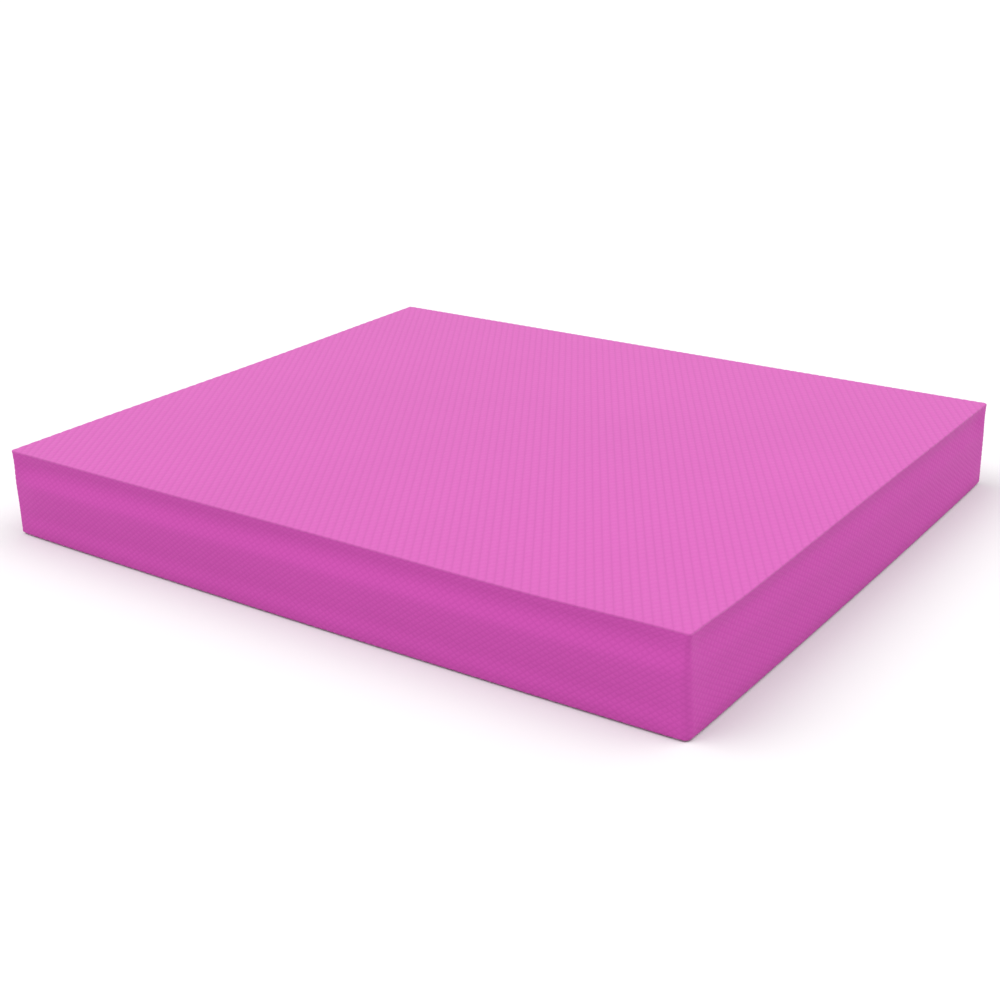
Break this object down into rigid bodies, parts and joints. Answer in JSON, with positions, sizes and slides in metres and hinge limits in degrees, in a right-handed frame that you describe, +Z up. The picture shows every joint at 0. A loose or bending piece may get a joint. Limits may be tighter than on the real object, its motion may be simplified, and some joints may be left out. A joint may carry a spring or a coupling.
{
  "type": "foam balance pad",
  "caption": "Thick rectangular foam slab with a flat standing surface, embossed all over, for balance and ankle exercises.",
  "frame": {"origin": "centre of the underside, on the surface that the pad stands on", "axes": "+X along the long side, +Y along the short side, +Z up through the thickness"},
  "size_m": [0.5024, 0.4276, 0.0584],
  "materials": {
    "face_skin": "matte, embossed with small raised diamonds",
    "side_skin": "matte, embossed with fine raised diamonds",
    "foam_core": "matte closed-cell foam"
  },
  "bodies": {
    "pad_base": {"bottom_skin": "face_skin", "lower_ply": "foam_core", "middle_ply": "foam_core", "side_skin": "side_skin"},
    "pad_top": {"upper_ply": "foam_core", "top_skin": "face_skin"}
  },
  "joints": [
    {"name": "foam_press", "type": "slide", "parent": "pad_base", "child": "pad_top", "axis": [0, 0, 1], "range_m": [-0.02, 0], "stiffness_N_per_m": 40000, "deforming": ["side_skin", "middle_ply"]}
  ]
}
